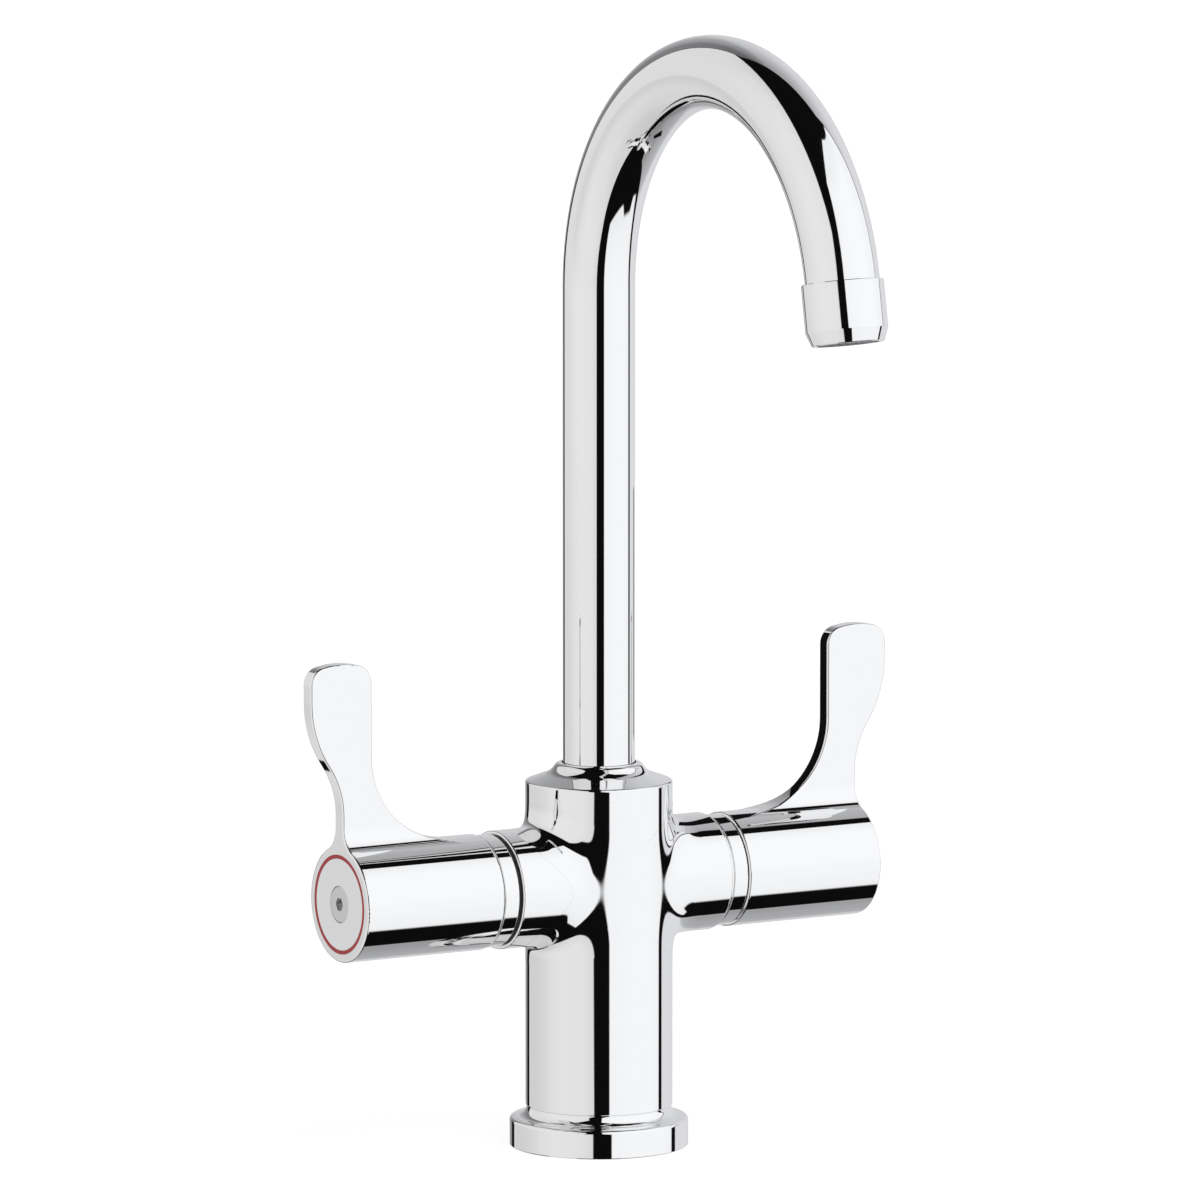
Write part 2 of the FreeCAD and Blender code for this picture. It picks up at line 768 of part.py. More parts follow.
def valve_body():
    """The casting, bored for spout, cartridges, inlets and stud."""
    body = new_body("valve_body")
    axis_height = cell("arm_axis")
    body.BaseFeature = blended_column()
    doc.recompute()
    round_edges(body, "arm_edges", cell("arm_edge"), around_arm_end)

    bore = cell("spout_bore")
    groove = bore + cell("snap_groove_depth")
    floor = cell("chamber_floor")
    low = cell("snap_groove_height")
    high = low + cell("snap_groove_width")
    mouth = cell("lip_height") + cell("free_gap")
    outline = Outline(body, "spout_bore_outline", "XZ_Plane")
    outline.start(0, floor).line(bore, floor).line(bore, low).line(groove, low)
    outline.line(groove, high).line(bore, high).line(bore, mouth).line(0, mouth).close()
    turn(body, "spout_bore", outline, cut=True)

    outline = Outline(body, "foot_outline", "XZ_Plane")
    outline.box(0, 0, cell("foot_bore"), cell("foot_depth"))
    turn(body, "hollow_foot", outline, cut=True)

    stud = Outline(body, "stud_outline", "XY_Plane", cell("foot_depth"))
    stud.circle(0, -cell("stud_front"), cell("stud_thread"))
    carve(body, "stud_hole", stud, cell("stud_depth"), reverse=True)

    arm_bore = turn(body, "arm_bore", arm_bore_outline(body), "H_Axis", cut=True)
    ports = Outline(body, "port_outline", "YZ_Plane", lift=axis_height)
    ports.circle(cell("port_side"), cell("port_rise"), cell("port_radius"))
    ports.circle(-cell("port_side"), cell("port_rise"), cell("port_radius"))
    mixing_ports = carve(body, "mixing_ports", ports, cell("port_end"), reverse=True)
    on_both_arms(body, "arm_bores", [arm_bore, mixing_ports])
    inlet = Outline(body, "inlet_outline", "XY_Plane", cell("foot_depth"))
    inlet.circle(cell("inlet_side"), cell("inlet_back"), cell("inlet_thread"))
    inlet_hole = carve(body, "inlet_hole", inlet, cell("inlet_depth"), reverse=True)
    channel = Outline(body, "channel_outline", "XY_Plane", cell("foot_depth"))
    channel.circle(cell("inlet_side"), cell("inlet_back"), cell("inlet_channel"))
    rise = axis_height - cell("foot_depth")
    inlet_channel = carve(body, "inlet_channel", channel, rise, reverse=True)
    mirror(body, "inlets", [inlet_hole, inlet_channel])
    return body


def in_nearer_arm(point):
    """A point seen from the arm nearer to it: side, place along and across the arm, and rise."""
    places = []
    for side, angle in SIDES.items():
        turned = math.radians(angle.value)
        along = point.x * math.cos(turned) + point.y * math.sin(turned)
        across = point.y * math.cos(turned) - point.x * math.sin(turned)
        places.append((along, across, side))
    along, across, side = max(places)
    return side, along, across, point.z - cell("arm_axis").value


def on_arm_surface(point):
    _, _, across, rise = in_nearer_arm(point)
    return abs(math.hypot(across, rise) - cell("arm_radius").value) < NEAR


def between_arm_and_column(edge):
    """True for the seams where the arms run into the column."""
    for share in (0.1, 0.35, 0.6, 0.85):
        point = point_on(edge, share)
        from_column = math.hypot(point.x, point.y) - cell("column_radius").value
        if abs(from_column) > NEAR or not on_arm_surface(point):
            return False
    return True


def around_arm_end(edge):
    point = point_on(edge, 0.3)
    _, along, _, _ = in_nearer_arm(point)
    return abs(along - cell("arm_end").value) < NEAR and on_arm_surface(point)


def blend_radius(point):
    """Radius of the blend at an end of a seam, which is at an arm's side or above or below it."""
    _, _, _, rise = in_nearer_arm(point)
    return cell("side_blend" if abs(rise) < NEAR else "arm_blend").value


def blend_rows(shape):
    """Number and two radii of each seam; an arm's seams are all taken the way its first one runs."""
    rows = []
    ways = {}
    for number, edge in enumerate(shape.Edges, start=1):
        if not between_arm_and_column(edge):
            continue
        radii = [blend_radius(point_on(edge, share)) for share in (0, 1)]
        side, _, begin_across, begin_rise = in_nearer_arm(point_on(edge, 0.2))
        _, _, end_across, end_rise = in_nearer_arm(point_on(edge, 0.8))
        way = begin_across * end_rise > end_across * begin_rise
        if ways.setdefault(side, way) != way:
            radii.reverse()
        rows.append((number, *radii))
    return rows


def point_on(edge, share):
    first, last = edge.ParameterRange
    return edge.valueAt(first + (last - first) * share)


def base_ring():
    """Foot ring: straight rim, crowned top, concave neck up to the seam, groove for the gasket."""
    body = new_body("base_ring")
    bore = cell("spigot_radius") + cell("slip_fit")
    rim = cell("ring_radius")
    edge = cell("ring_edge")
    chamfer = cell("ring_chamfer")
    neck = cell("ring_neck")
    fillet = cell("ring_fillet")
    shelf = cell("ring_rim") + edge
    inner, outer = cell("gasket_inner"), cell("gasket_outer")
    groove = cell("gasket_thickness")
    outline = Outline(body, "ring_outline", "XZ_Plane")
    outline.start(bore, 0).line(inner, 0).line(inner, groove).line(outer, groove)
    outline.line(outer, 0).line(rim - chamfer, 0).line(rim, chamfer)
    outline.line(rim, cell("ring_rim")).arc(rim - edge, shelf, edge, LEFT)
    outline.line(neck + fillet, shelf + cell("ring_crown"))
    outline.arc(neck, shelf + cell("ring_crown") + fillet, fillet, RIGHT)
    outline.line(neck, cell("seam_height")).line(bore, cell("seam_height")).close()
    turn(body, "ring", outline)
    return body


def base_gasket():
    body = new_body("base_gasket")
    slip = cell("slip_fit")
    inner = cell("gasket_inner") + slip
    outer = cell("gasket_outer") - slip
    tube_section(body, "gasket", inner, outer, 0, cell("gasket_thickness"))
    return body


def band(side):
    """Narrow chrome ring that is screwed over the cartridge's flange against the arm."""
    body = new_body(f"{side}_band")
    bore = cell("flange_bore")
    radius = cell("band_radius")
    edge = cell("band_edge")
    start, end = cell("band_start"), cell("band_end")
    outline = Outline(body, "band_outline", "XZ_Plane")
    spigot = radius - cell("band_step")
    recess = radius - cell("band_wall")
    outline.start(cell("arm_end"), bore).line(cell("arm_end"), spigot)
    outline.line(start, spigot).line(start, radius - edge)
    outline.arc(start + edge, radius, edge, RIGHT).line(end - edge, radius)
    outline.arc(end, radius - edge, edge, RIGHT).line(end, recess)
    outline.line(cell("band_web"), recess).line(cell("band_web"), bore).close()
    turn(body, "band", outline, "H_Axis")
    return on_arm(body, side)


def cartridge(side):
    """Quarter-turn headwork: windowed nose, thread, flange, hexagon and neck about the spindle bore."""
    body = new_body(f"{side}_cartridge")
    slip = cell("slip_fit")
    thread = cell("thread_bore") - slip
    flange = cell("flange_bore") - slip
    bore = cell("spindle_bore")
    cavity = cell("cavity_radius")
    groove_start = cell("flange_seat") - cell("seal_groove_width")
    floor = cell("seal_groove_floor")
    outline = Outline(body, "cartridge_outline", "XZ_Plane")
    outline.start(cell("nose_start"), cavity).line(cell("nose_start"), cell("nose_radius"))
    outline.line(cell("thread_start"), cell("nose_radius")).line(cell("thread_start"), thread)
    outline.line(groove_start, thread).line(groove_start, floor)
    outline.line(cell("flange_seat"), floor).line(cell("flange_seat"), flange)
    outline.line(cell("band_web"), flange).line(cell("band_web"), cell("neck_radius"))
    outline.line(cell("neck_end"), cell("neck_radius")).line(cell("neck_end"), bore)
    outline.line(cell("cavity_end"), bore).line(cell("cavity_end"), cavity).close()
    turn(body, "headwork", outline, "H_Axis")

    nut = Outline(body, "hexagon_outline", "YZ_Plane", cell("band_web"))
    hexagon(nut, cell("hexagon_flats"))
    nut.circle(0, 0, bore)
    extrude(body, "hexagon", nut, cell("hexagon_end") - cell("band_web"))

    windows = Outline(body, "window_outline", "XZ_Plane")
    half = cell("window_width") / 2
    window_start = cell("turning_disc_end") + cell("free_gap")
    windows.box(window_start, -half, cell("shoulder_start") - cell("slip_fit"), half)
    carve(body, "windows", windows, 4 * cell("nose_radius"), both_ways=True)
    return on_arm(body, side)


def cartridge_seal(side):
    floor = cell("seal_groove_floor")
    bore = cell("thread_bore")
    section = (bore - floor) / 2 - cell("running_fit") / 2
    middle = cell("flange_seat") - cell("seal_groove_width") / 2
    name = f"{side}_cartridge_seal"
    return on_arm(o_rings(name, (bore + floor) / 2, section, [middle], "H_Axis"), side)


def seat_seal(side):
    body = new_body(f"{side}_seat_seal")
    inner = cell("port_outer") + cell("slip_fit")
    outer = cell("disc_radius")
    tube_section(body, "seal", inner, outer, cell("seat_face"), cell("seat_seal_end"), "H_Axis")
    return on_arm(body, side)


def ceramic_disc(name, start, first_port):
    """A ceramic disc with two opposite ports, the first at the given angle."""
    body = new_body(name)
    outline = Outline(body, "disc_outline", "YZ_Plane", start)
    outline.circle(0, 0, cell("disc_radius"))
    port_sector(outline, sized(first_port))
    port_sector(outline, sized(first_port + 180))
    extrude(body, "disc", outline, cell("disc_thickness"))
    return body


def fixed_disc(side):
    return on_arm(ceramic_disc(f"{side}_fixed_disc", cell("seat_seal_end"), 0), side)


# Turning with a handle


def turning_disc(side):
    """Its ports stand across those of the fixed disc, so the valve is shut at rest."""
    body = ceramic_disc(f"{side}_turning_disc", cell("turning_disc_start"), 90)
    slot = Outline(body, "slot_outline", "YZ_Plane", cell("turning_disc_end"))
    reach = cell("disc_radius") + cell("free_gap")
    half = cell("slot_width") / 2
    slot.box(-reach, -half, reach, half)
    carve(body, "drive_slot", slot, cell("slot_depth"))
    return on_arm(body, side)


def spindle_outline(body):
    """Shoulder, stem with two seal grooves and a clip groove, and the blank of the splines."""
    radius = cell("spindle_radius")
    floor = cell("groove_floor")
    clip_start, clip_end = cell("clip_start"), cell("clip_end")
    outline = Outline(body, "spindle_outline", "XZ_Plane")
    outline.start(cell("shoulder_start"), 0)
    outline.line(cell("shoulder_start"), cell("disc_radius"))
    outline.line(cell("shoulder_end"), cell("disc_radius")).line(cell("shoulder_end"), radius)
    for start in (cell("first_groove"), cell("second_groove")):
        end = start + cell("groove_width")
        outline.line(start, radius).line(start, floor).line(end, floor).line(end, radius)
    outline.line(clip_start, radius).line(clip_start, cell("clip_seat"))
    outline.line(clip_end, cell("clip_seat")).line(clip_end, radius)
    outline.line(cell("shank_end"), radius).line(cell("shank_end"), cell("spline_tip"))
    outline.line(cell("spline_end"), cell("spline_tip")).line(cell("spline_end"), 0)
    return outline.close()


def spindle(side):
    """Stem with a drive tongue at the discs and a splined, tapped outer end."""
    body = new_body(f"{side}_spindle")
    turn(body, "stem", spindle_outline(body), "H_Axis")

    tongue_start = cell("turning_disc_end") - cell("slot_depth") + cell("slip_fit")
    tongue = Outline(body, "tongue_outline", "YZ_Plane", tongue_start)
    half = cell("slot_width") / 2 - cell("slip_fit")
    reach = cell("disc_radius") - cell("tongue_inset")
    tongue.box(-reach, -half, reach, half)
    extrude(body, "tongue", tongue, cell("shoulder_start") - tongue_start)

    tapped = Outline(body, "tapped_outline", "YZ_Plane", cell("spline_end"))
    tapped.circle(0, 0, cell("screw_hole"))
    carve(body, "tapped_hole", tapped, cell("screw_grip") + cell("screw_spare"))

    groove = Outline(body, "spline_outline", "YZ_Plane", cell("spline_end"))
    outside = cell("spline_tip") + cell("free_gap")
    half = outside - cell("spline_root")
    groove.start(0, cell("spline_root")).line(half, outside).line(-half, outside).close()
    length = cell("spline_end") - cell("shank_end")
    first = carve(body, "spline_groove", groove, length)
    around(body, "splines", [first], cell("spline_teeth"))
    return on_arm(body, side)


def spindle_seals(side):
    bore = cell("spindle_bore")
    floor = cell("groove_floor")
    section = (bore - floor) / 2 - cell("running_fit") / 2
    starts = (cell("first_groove"), cell("second_groove"))
    middles = [start + cell("groove_width") / 2 for start in starts]
    name = f"{side}_spindle_seals"
    return on_arm(o_rings(name, (bore + floor) / 2, section, middles, "H_Axis"), side)


def spindle_clip(side):
    body = new_body(f"{side}_spindle_clip")
    slip = cell("slip_fit")
    start, end = cell("clip_start") + slip, cell("clip_end") - slip
    outer = cell("clip_seat") + cell("clip_band")
    tube_section(body, "clip", cell("clip_seat") + slip, outer, start, end, "H_Axis")
    opening = Outline(body, "opening_outline", "YZ_Plane", start)
    half = cell("clip_opening") / 2
    opening.box(-half, 0, half, outer + cell("free_gap"))
    carve(body, "opening", opening, end - start, reverse=True)
    return on_arm(body, side)


def thrust_washer(side):
    body = new_body(f"{side}_thrust_washer")
    inner = cell("spindle_radius") + cell("slip_fit")
    start, end = cell("shoulder_end"), cell("washer_end")
    tube_section(body, "washer", inner, cell("disc_radius"), start, end, "H_Axis")
    return on_arm(body, side)


def web_centre():
    """Centre of the concave web between blade and hub, on the front side, as (side, height)."""
    hub = cell("hub_radius") - cell("slip_fit")
    blend = cell("web_blend")
    side = cell("blade_thickness") / 2 + blend
    reach = hub + blend
    return side, root(reach * reach - side * side)


def web_outline(body, start):
    """Cross-section of blade and web: a thin upright plate that flares into the hub."""
    hub = cell("hub_radius") - cell("slip_fit")
    blend = cell("web_blend")
    half = cell("blade_thickness") / 2
    side, height = web_centre()
    foot_y = side * hub / (hub + blend)
    foot_z = height * hub / (hub + blend)
    top = cell("blade_top") + cell("free_gap")
    low = hub / 2
    outline = Outline(body, "web_outline", "YZ_Plane", start)
    outline.start(-foot_y, low).line(foot_y, low).line(foot_y, foot_z)
    outline.arc(half, height, blend, RIGHT).line(half, top).line(-half, top)
    outline.line(-half, height).arc(-foot_y, foot_z, blend, RIGHT)
    return outline.close()


def blade_outline(body):
    """Side view of the wrist blade, in a frame: all that lies between the two is cut away."""
    end = cell("hub_end")
    outer, inner = cell("blade_outer"), cell("blade_inner")
    low = cell("hub_radius") / 2
    sway = outer - end
    rise = cell("sway_rise")
    share = cell("sway_share")
    sweep = (sway * sway + rise * rise) / (2 * sway)
    crown, corner = cell("blade_crown"), cell("blade_corner")
    middle = (outer + inner) / 2
    offset = (outer - inner) / 2 - corner
    drop = root((crown - corner) * (crown - corner) - offset * offset)
    corner_z = cell("blade_top") - crown + drop
    crown_x = offset * crown / (crown - corner)
    crown_z = cell("blade_top") - crown + drop * crown / (crown - corner)
    web = cell("web_radius")
    steep, gentle = cell("web_slope"), cell("tail_slope")
    web_z = cell("hub_radius") + web
    knee_x = inner - web * (1 - sine(steep))
    knee_z = web_z - web * cosine(steep)
    tail_x = cell("tail_start")
    tail = (knee_x - tail_x) / (sine(steep) - sine(gentle))
    tail_z = knee_z - tail * (cosine(gentle) - cosine(steep))

    margin = 2 * cell("free_gap")
    outline = Outline(body, "blade_outline", "XZ_Plane")
    outline.box(tail_x - margin, low - margin, outer + margin, cell("blade_top") + margin)
    outline.start(end, low).line(end, cell("sway_start"))
    outline.arc(end + sway * share, cell("sway_start") + rise * share, sweep * share, RIGHT)
    outline.arc(outer, cell("sway_end"), sweep * (1 - share), LEFT)
    outline.line(outer, corner_z).arc(middle + crown_x, crown_z, corner, LEFT)
    outline.arc(middle - crown_x, crown_z, crown, LEFT).arc(inner, corner_z, corner, LEFT)
    outline.line(inner, web_z).arc(knee_x, knee_z, web, RIGHT)
    outline.arc(tail_x, tail_z, tail, RIGHT).line(tail_x, low)
    return outline.close()


def on_blade_rim(edge):
    """True for the sharp rim of blade, web and end face, not for seams within a smooth side."""
    middle = point_on(edge, 0.5)
    half = cell("blade_thickness").value / 2
    _, height = web_centre()
    if abs(middle.x - cell("hub_end").value) < NEAR:
        return True
    if abs(middle.x - point_on(edge, 0.2).x) < NEAR:
        return False
    along_hub = abs(middle.z - point_on(edge, 0.2).z) < NEAR
    if abs(abs(middle.y) - half) < NEAR and middle.z > height.value + NEAR:
        return True
    return half < abs(middle.y) and not along_hub and middle.z > cell("hub_radius").value


def hub_bore_outline(body):
    """Everything bored inside the hub, from the open inner end to the recess in the end face."""
    outside = cell("hub_end") + cell("free_gap")
    inside = cell("hub_start") - cell("free_gap")
    broach = cell("spline_root") + cell("running_fit")
    screw = cell("screw_hole") + cell("free_gap")
    head = cell("screw_head") + cell("running_fit")
    shelf = cell("recess_floor")
    outline = Outline(body, "hub_bore_outline", "XZ_Plane")
    outline.start(inside, 0).line(inside, cell("hub_bore"))
    outline.line(cell("hub_bore_end"), cell("hub_bore"))
    outline.line(cell("hub_bore_end"), cell("boss_radius"))
    outline.line(cell("boss_start"), cell("boss_radius")).line(cell("boss_start"), broach)
    outline.line(cell("broach_end"), broach).line(cell("broach_end"), screw)
    outline.line(cell("screw_seat"), screw).line(cell("screw_seat"), head)
    outline.line(shelf, head).line(shelf, cell("recess_radius"))
    outline.line(outside, cell("recess_radius")).line(outside, 0)
    return outline.close()


def broach_groove(outline, low, high):
    """One groove of the broach: it stands half a pitch off, where the spindle has a tooth."""
    half_pitch = 180 / cell("spline_teeth")
    middle = 90 - half_pitch
    corners = []
    for radius in (low, high):
        half_gap = radius - low - cell("slip_fit") / 2
        half_width = radius * sized(math.pi) / cell("spline_teeth") - half_gap
        for across in (half_width, -half_width):
            x = radius * cosine(middle) - across * sine(middle)
            y = radius * sine(middle) + across * cosine(middle)
            corners.append((x, y))
    left_low, right_low, left_high, right_high = corners
    outline.start(*left_low).line(*right_low).line(*right_high).line(*left_high)
    return outline.close()


def handle(side):
    """Wrist-blade handle: plate and web cut to the blade's outline, on a hollow hub with a boss."""
    body = new_body(f"{side}_handle")
    start = cell("tail_start") - cell("free_gap")
    length = cell("blade_outer") + cell("free_gap") - start
    extrude(body, "plate_and_web", web_outline(body, start), length)
    trim = blade_outline(body)
    carve(body, "blade_trim", trim, 2 * cell("hub_radius"), both_ways=True)

    radius = cell("hub_radius")
    inner_round = cell("hub_inner_round")
    hub = Outline(body, "hub_outline", "XZ_Plane")
    hub.start(cell("hub_start"), 0).line(cell("hub_start"), radius - inner_round)
    hub.arc(cell("hub_start") + inner_round, radius, inner_round, RIGHT)
    hub.line(cell("hub_end"), radius).line(cell("hub_end"), 0).close()
    turn(body, "hub", hub, "H_Axis")
    round_edges(body, "rim_rounding", cell("blade_edge"), on_blade_rim)

    turn(body, "hub_bores", hub_bore_outline(body), "H_Axis", cut=True)
    groove = Outline(body, "broach_outline", "YZ_Plane", cell("boss_start"))
    broach_groove(groove, cell("spline_root"), cell("spline_tip") + cell("running_fit"))
    broach_length = cell("broach_end") - cell("boss_start")
    first = carve(body, "broach_groove", groove, broach_length, reverse=True)
    around(body, "broach", [first], cell("spline_teeth"))
    return on_arm(body, side)


def index_ring(side):
    body = new_body(f"{side}_index_ring")
    outer = cell("recess_radius") - cell("slip_fit")
    low, high = cell("recess_floor"), cell("inlay_face")
    tube_section(body, "ring", outer - cell("ring_band"), outer, low, high, "H_Axis")
    return on_arm(body, side)


def index_disc(side):
    body = new_body(f"{side}_index_disc")
    outer = cell("recess_radius") - cell("ring_band") - 2 * cell("slip_fit")
    inner = cell("screw_head") + cell("running_fit")
    low, high = cell("recess_floor"), cell("inlay_face")
    tube_section(body, "disc", inner, outer, low, high, "H_Axis")
    return on_arm(body, side)


def handle_screw(side):
    body = new_body(f"{side}_handle_screw")
    end = cell("inlay_face")
    head = cell("screw_head")
    shank = cell("screw_hole") - 2 * cell("slip_fit")
    bevel = cell("free_gap")
    outline = Outline(body, "screw_outline", "XZ_Plane")
    outline.start(cell("screw_start"), 0).line(cell("screw_start"), shank)
    outline.line(cell("screw_seat"), shank).line(cell("screw_seat"), head)
    outline.line(end - bevel, head).line(end, head - bevel).line(end, 0).close()
    turn(body, "screw", outline, "H_Axis")
    socket = Outline(body, "socket_outline", "YZ_Plane", end)
    carve(body, "socket", hexagon(socket, cell("socket_flats")), cell("socket_depth"))
    return on_arm(body, side)


# Turning with the spout


def spout_tube():
    """Straight riser, one bend about a level axis, and a short straight tail in the collar."""
    body = new_body("spout_tube")
    radius, angle, tail = cell("bend_radius"), cell("bend_angle"), cell("tube_tail")
    height = cell("bend_height")
    bend_y = radius * cosine(angle) - radius
    bend_z = height + radius * sine(angle)
    path = Outline(body, "tube_path", "YZ_Plane")
    path.start(0, cell("tube_foot")).line(0, height).arc(bend_y, bend_z, radius, LEFT)
    path.line(bend_y - tail * sine(angle), bend_z + tail * cosine(angle)).leave_open()
    ring = Outline(body, "tube_ring", "XY_Plane", cell("tube_foot"))
    ring.circle(0, 0, cell("tube_radius"))
    ring.circle(0, 0, cell("tube_radius") - cell("tube_wall"))
    tube = feature(body, "AdditivePipe", "tube", ring)
    tube.Spine = (path.sketch, [])
    doc.recompute()
    return body


def spout_shank():
    """Plug in the tube's foot: seal, snap-ring and glide-ring grooves, then the spigot in the tube."""
    body = new_body("spout_shank")
    radius = cell("shank_radius")
    spigot = cell("spigot_in_tube")
    spigot_end = cell("tube_foot") + cell("shank_spigot")
    seal_width = cell("seal_seat_width")
    grooves = [
        (cell("lower_seal"), seal_width, cell("seal_seat_depth")),
        (cell("upper_seal"), seal_width, cell("seal_seat_depth")),
        (cell("snap_seat"), cell("snap_width"), cell("snap_depth")),
        (cell("glide_seat"), cell("glide_width"), cell("glide_thickness")),
    ]
    outline = Outline(body, "shank_outline", "XZ_Plane")
    outline.start(cell("shank_bore"), cell("shank_foot")).line(radius, cell("shank_foot"))
    for low, width, depth in grooves:
        outline.line(radius, low).line(radius - depth, low)
        outline.line(radius - depth, low + width).line(radius, low + width)
    outline.line(radius, cell("tube_foot")).line(spigot, cell("tube_foot"))
    outline.line(spigot, spigot_end).line(cell("shank_bore"), spigot_end).close()
    turn(body, "shank", outline)
    return body


def spout_seals():
    bore = cell("spout_bore")
    floor = cell("shank_radius") - cell("seal_seat_depth")
    section = (bore - floor) / 2 - cell("running_fit") / 2
    lows = (cell("lower_seal"), cell("upper_seal"))
    middles = [low + cell("seal_seat_width") / 2 for low in lows]
    return o_rings("spout_seals", (bore + floor) / 2, section, middles)


def split_ring(name, inner, outer, low, high, opening):
    """A ring about the Z axis with a slit at its back."""
    body = new_body(name)
    tube_section(body, "ring", inner, outer, low, high)
    slit = Outline(body, "slit_outline", "XY_Plane", low)
    half = opening / 2
    slit.box(-half, 0, half, outer + cell("free_gap"))
    carve(body, "slit", slit, high - low, reverse=True)
    return body


def spout_glide_ring():
    slip = cell("slip_fit")
    low = cell("glide_seat") + slip
    high = cell("glide_seat") + cell("glide_width") - slip
    inner = cell("shank_radius") - cell("glide_thickness") + slip
    outer = cell("spout_bore") - slip
    return split_ring("spout_glide_ring", inner, outer, low, high, cell("glide_opening"))


def spout_snap_ring():
    slip = cell("slip_fit")
    low = cell("snap_seat") + slip
    high = cell("snap_seat") + cell("snap_width") - slip
    inner = cell("shank_radius") - cell("snap_depth") + slip
    outer = cell("spout_bore") + cell("snap_groove_depth") - cell("free_gap")
    return split_ring("spout_snap_ring", inner, outer, low, high, cell("snap_opening"))


def outlet_collar():
    """Collar over the tube's end: plain for most of its length, then drawn in to the mouth."""
    body = new_body("outlet_collar")
    radius = cell("collar_radius")
    bore = cell("tube_radius") + cell("slip_fit")
    bevel = cell("slip_fit") * 4
    length = cell("collar_length")
    draw, fall = cell("collar_draw"), cell("collar_taper")
    mouth = radius - draw
    straight = length - fall
    step, shelf = cell("collar_step"), cell("collar_lip_start")
    lip = cell("collar_bore") - cell("collar_lip")
    outline = Outline(body, "collar_outline", "XZ_Plane")
    outline.start(bore, 0).line(radius - bevel, 0).line(radius, bevel).line(radius, straight)
    outline.line(mouth, length - bevel).line(mouth - bevel, length).line(lip, length)
    outline.line(lip, shelf).line(cell("collar_bore"), shelf)
    outline.line(cell("collar_bore"), step).line(bore, step).close()
    turn(body, "collar", outline)
    return at_outlet(body)


def aerator_washer():
    body = new_body("aerator_washer")
    outer = cell("aerator_radius")
    inner = outer - cell("aerator_washer_width")
    tube_section(body, "washer", inner, outer, cell("collar_step"), cell("aerator_start"))
    return at_outlet(body)


def aerator_housing():
    """Cup with a drilled floor: one hole in the middle and two rings of holes about it."""
    body = new_body("aerator_housing")
    outer, inner = cell("aerator_radius"), cell("aerator_bore")
    low, high = cell("aerator_start"), cell("collar_lip_start")
    floor = high - cell("aerator_floor")
    outline = Outline(body, "cup_outline", "XZ_Plane")
    outline.start(0, floor).line(inner, floor).line(inner, low).line(outer, low)
    outline.line(outer, high).line(0, high).close()
    turn(body, "cup", outline)
    pitch = cell("aerator_pitch")
    hole = cell("aerator_hole")
    holes = Outline(body, "hole_outline", "XY_Plane", high)
    holes.circle(0, 0, hole)
    for sixth in range(6):
        angle = sized(60.0 * sixth)
        between = angle + 30
        holes.circle(pitch * cosine(angle), pitch * sine(angle), hole)
        holes.circle(2 * pitch * cosine(angle), 2 * pitch * sine(angle), hole)
        far = pitch * root(sized(3))
        holes.circle(far * cosine(between), far * sine(between), hole)
    carve(body, "holes", holes, cell("aerator_floor"))
    return at_outlet(body)


def aerator_screen():
    body = new_body("aerator_screen")
    low = cell("aerator_start") + cell("screen_height")
    high = low + cell("screen_thickness")
    radius = cell("aerator_bore") - cell("slip_fit")
    outline = Outline(body, "screen_outline", "XZ_Plane")
    outline.box(0, low, radius, high)
    turn(body, "screen", outline)
    return at_outlet(body)


parts = [valve_body(), base_ring(), base_gasket()]
for side in SIDES:
    parts += [band(side), cartridge(side), cartridge_seal(side), seat_seal(side)]
    parts += [fixed_disc(side), turning_disc(side), spindle(side), spindle_seals(side)]
    parts += [spindle_clip(side), thrust_washer(side), handle(side), index_ring(side)]
    parts += [index_disc(side), handle_screw(side)]
parts += [spout_tube(), spout_shank(), spout_seals(), spout_glide_ring(), spout_snap_ring()]
parts += [outlet_collar(), aerator_washer(), aerator_housing(), aerator_screen()]
doc.recompute()

for thing in doc.Objects:
    if "Invalid" in thing.State or "Error" in thing.State:
        raise RuntimeError(f"{thing.Name} did not build: {thing.State}")
for part in parts:
    if part.Shape.isNull() or not part.Shape.isValid():
        raise RuntimeError(f"{part.Label} has no sound shape")

os.makedirs("parts", exist_ok=True)
for part in parts:
    part.Shape.exportStep(f"parts/{part.Label}.step")
    print(part.Label, len(part.Shape.Solids), round(part.Shape.Volume, 1))
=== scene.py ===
import math

import bpy
from mathutils import Matrix, Vector


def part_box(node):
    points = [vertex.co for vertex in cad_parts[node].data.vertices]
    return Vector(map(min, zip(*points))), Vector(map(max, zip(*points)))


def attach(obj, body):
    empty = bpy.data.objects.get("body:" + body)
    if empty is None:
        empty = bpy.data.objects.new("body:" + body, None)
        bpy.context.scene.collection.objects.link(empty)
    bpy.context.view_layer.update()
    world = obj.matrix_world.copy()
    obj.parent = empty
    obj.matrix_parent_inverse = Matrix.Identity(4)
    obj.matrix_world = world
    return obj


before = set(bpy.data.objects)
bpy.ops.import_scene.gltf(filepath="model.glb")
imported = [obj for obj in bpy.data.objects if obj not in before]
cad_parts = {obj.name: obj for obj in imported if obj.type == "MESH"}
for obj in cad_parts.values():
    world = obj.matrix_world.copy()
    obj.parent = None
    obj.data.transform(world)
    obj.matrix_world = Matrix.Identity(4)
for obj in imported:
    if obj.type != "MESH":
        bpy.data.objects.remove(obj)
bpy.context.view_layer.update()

# Camera at the photograph's angle: degrees and metres, and millimetres for lens and sensor.
CAMERA_AZIMUTH = -31.10
CAMERA_ELEVATION = 7.353
CAMERA_DISTANCE = 3.3866
CAMERA_LENS = 306.7
SENSOR_WIDTH = 36
FARTHEST_SEEN = 50
AIM_HEIGHT = 0.18275
AIM_RIGHT = 0.000357


